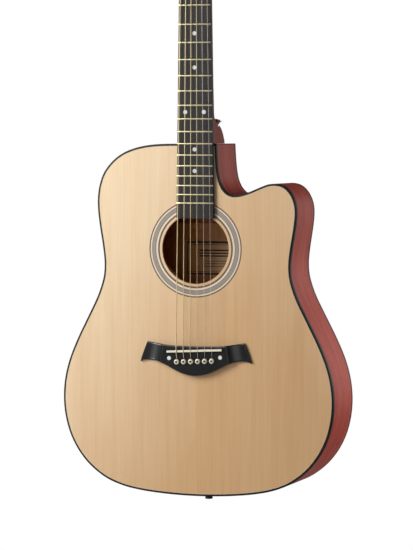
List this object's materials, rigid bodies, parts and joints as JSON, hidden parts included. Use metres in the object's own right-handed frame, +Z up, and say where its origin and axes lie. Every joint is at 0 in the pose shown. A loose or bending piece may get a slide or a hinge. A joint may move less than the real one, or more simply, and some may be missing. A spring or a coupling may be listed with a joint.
{
  "type": "acoustic guitar",
  "caption": "Steel-string acoustic guitar with a rounded cutaway, a pinned bridge, a round sound hole and a headstock with open geared tuners.",
  "frame": {"origin": "the point on the centre plane, just above the nut and inside the headstock's root, where a wall hanger's yoke carries the guitar", "axes": "+Z up along the strings towards the headstock, -Y out of the soundboard, +X to the treble side, where the cutaway is"},
  "size_m": [0.4092, 0.1257, 1.0503],
  "materials": {
    "spruce": "satin lacquer over straight-grained spruce",
    "mahogany": "red-stained mahogany under satin lacquer",
    "inner_wood": "bare",
    "brace_wood": "bare spruce",
    "black_binding": "satin black",
    "ebony": "satin",
    "fretboard_wood": "dry, dark brown-black",
    "fret_metal": "polished nickel-silver with a warm tint",
    "bone": "polished cream bone or moulded substitute",
    "pearl": "mother-of-pearl substitute",
    "nickel": "polished nickel plate",
    "wound_bronze": "bronze-wound",
    "plain_steel": "drawn plain steel",
    "rosette_inlay": "concentric inlay rings",
    "black_pin": "turned black"
  },
  "bodies": {
    "guitar": {"soundboard": "spruce", "rosette": "rosette_inlay", "binding_top": "black_binding", "binding_back": "black_binding", "back_plate": "mahogany", "side_bass": "mahogany", "side_treble": "mahogany", "neck": "mahogany", "heel_cap": "mahogany", "neck_block": "inner_wood", "tail_block": "inner_wood", "lining_top_bass": "brace_wood", "lining_top_treble": "brace_wood", "lining_back_bass": "brace_wood", "lining_back_treble": "brace_wood", "x_brace_bass_top": "brace_wood", "x_brace_treble_top": "brace_wood", "upper_brace": "brace_wood", "bridge_plate": "brace_wood", "back_brace_upper": "brace_wood", "back_brace_lower": "brace_wood", "end_pin": "black_pin", "bridge": "ebony", "headstock_veneer": "ebony", "saddle": "bone", "nut": "bone", "bridge_dot_bass": "pearl", "bridge_dot_treble": "pearl", "position_dots": "pearl", "fretboard": "fretboard_wood", "frets": "fret_metal", "truss_rod": "plain_steel", "string_1": "plain_steel", "string_2": "plain_steel", "string_6": "wound_bronze", "string_5": "wound_bronze", "string_4": "wound_bronze", "string_3": "wound_bronze", "strap_button": "nickel", "tuner_plate_bass": "nickel", "tuner_plate_treble": "nickel"},
    "button_6": {"tuner_button_6": "nickel"},
    "post_6": {"string_post_6": "nickel"},
    "pin_6": {"bridge_pin_6": "bone"},
    "button_5": {"tuner_button_5": "nickel"},
    "post_5": {"string_post_5": "nickel"},
    "pin_5": {"bridge_pin_5": "bone"},
    "button_4": {"tuner_button_4": "nickel"},
    "post_4": {"string_post_4": "nickel"},
    "pin_4": {"bridge_pin_4": "bone"},
    "button_3": {"tuner_button_3": "nickel"},
    "post_3": {"string_post_3": "nickel"},
    "pin_3": {"bridge_pin_3": "bone"},
    "button_2": {"tuner_button_2": "nickel"},
    "post_2": {"string_post_2": "nickel"},
    "pin_2": {"bridge_pin_2": "bone"},
    "button_1": {"tuner_button_1": "nickel"},
    "post_1": {"string_post_1": "nickel"},
    "pin_1": {"bridge_pin_1": "bone"},
    "truss_nut": {"truss_rod_nut": "plain_steel"}
  },
  "joints": [
    {"name": "button_turn_6", "type": "hinge", "parent": "guitar", "child": "button_6", "pos_m": [-0.0265, 0.01564, 0.01273], "axis": [1, 0, 0], "continuous": true},
    {"name": "post_turn_6", "type": "hinge", "parent": "guitar", "child": "post_6", "pos_m": [-0.0265, 0.01648, 0.02108], "axis": [0, 0.9703, -0.2419], "continuous": true},
    {"name": "button_turn_5", "type": "hinge", "parent": "guitar", "child": "button_5", "pos_m": [-0.0265, 0.02459, 0.04863], "axis": [1, 0, 0], "continuous": true},
    {"name": "post_turn_5", "type": "hinge", "parent": "guitar", "child": "post_5", "pos_m": [-0.0265, 0.02543, 0.05698], "axis": [0, 0.9703, -0.2419], "continuous": true},
    {"name": "button_turn_4", "type": "hinge", "parent": "guitar", "child": "button_4", "pos_m": [-0.0265, 0.03354, 0.08453], "axis": [1, 0, 0], "continuous": true},
    {"name": "post_turn_4", "type": "hinge", "parent": "guitar", "child": "post_4", "pos_m": [-0.0265, 0.03438, 0.09288], "axis": [0, 0.9703, -0.2419], "continuous": true},
    {"name": "button_turn_3", "type": "hinge", "parent": "guitar", "child": "button_3", "pos_m": [0.0265, 0.03354, 0.08453], "axis": [1, 0, 0], "continuous": true},
    {"name": "post_turn_3", "type": "hinge", "parent": "guitar", "child": "post_3", "pos_m": [0.0265, 0.03438, 0.09288], "axis": [0, 0.9703, -0.2419], "continuous": true},
    {"name": "button_turn_2", "type": "hinge", "parent": "guitar", "child": "button_2", "pos_m": [0.0265, 0.02459, 0.04863], "axis": [1, 0, 0], "continuous": true},
    {"name": "post_turn_2", "type": "hinge", "parent": "guitar", "child": "post_2", "pos_m": [0.0265, 0.02543, 0.05698], "axis": [0, 0.9703, -0.2419], "continuous": true},
    {"name": "button_turn_1", "type": "hinge", "parent": "guitar", "child": "button_1", "pos_m": [0.0265, 0.01564, 0.01273], "axis": [1, 0, 0], "continuous": true},
    {"name": "post_turn_1", "type": "hinge", "parent": "guitar", "child": "post_1", "pos_m": [0.0265, 0.01648, 0.02108], "axis": [0, 0.9703, -0.2419], "continuous": true},
    {"name": "pin_pull_6", "type": "slide", "parent": "guitar", "child": "pin_6", "axis": [0, -1, 0], "range_m": [0, 0.025]},
    {"name": "pin_pull_5", "type": "slide", "parent": "guitar", "child": "pin_5", "axis": [0, -1, 0], "range_m": [0, 0.025]},
    {"name": "pin_pull_4", "type": "slide", "parent": "guitar", "child": "pin_4", "axis": [0, -1, 0], "range_m": [0, 0.025]},
    {"name": "pin_pull_3", "type": "slide", "parent": "guitar", "child": "pin_3", "axis": [0, -1, 0], "range_m": [0, 0.025]},
    {"name": "pin_pull_2", "type": "slide", "parent": "guitar", "child": "pin_2", "axis": [0, -1, 0], "range_m": [0, 0.025]},
    {"name": "pin_pull_1", "type": "slide", "parent": "guitar", "child": "pin_1", "axis": [0, -1, 0], "range_m": [0, 0.025]},
    {"name": "truss_nut_turn", "type": "hinge", "parent": "guitar", "child": "truss_nut", "pos_m": [0, 0.0007, -0.435], "axis": [0, 0, 1], "range_deg": [-180, 180]}
  ],
  "couplings": [
    {"joint": "post_turn_6", "follows": "button_turn_6", "ratio": -0.071429},
    {"joint": "post_turn_5", "follows": "button_turn_5", "ratio": -0.071429},
    {"joint": "post_turn_4", "follows": "button_turn_4", "ratio": -0.071429},
    {"joint": "post_turn_3", "follows": "button_turn_3", "ratio": -0.071429},
    {"joint": "post_turn_2", "follows": "button_turn_2", "ratio": -0.071429},
    {"joint": "post_turn_1", "follows": "button_turn_1", "ratio": -0.071429}
  ]
}
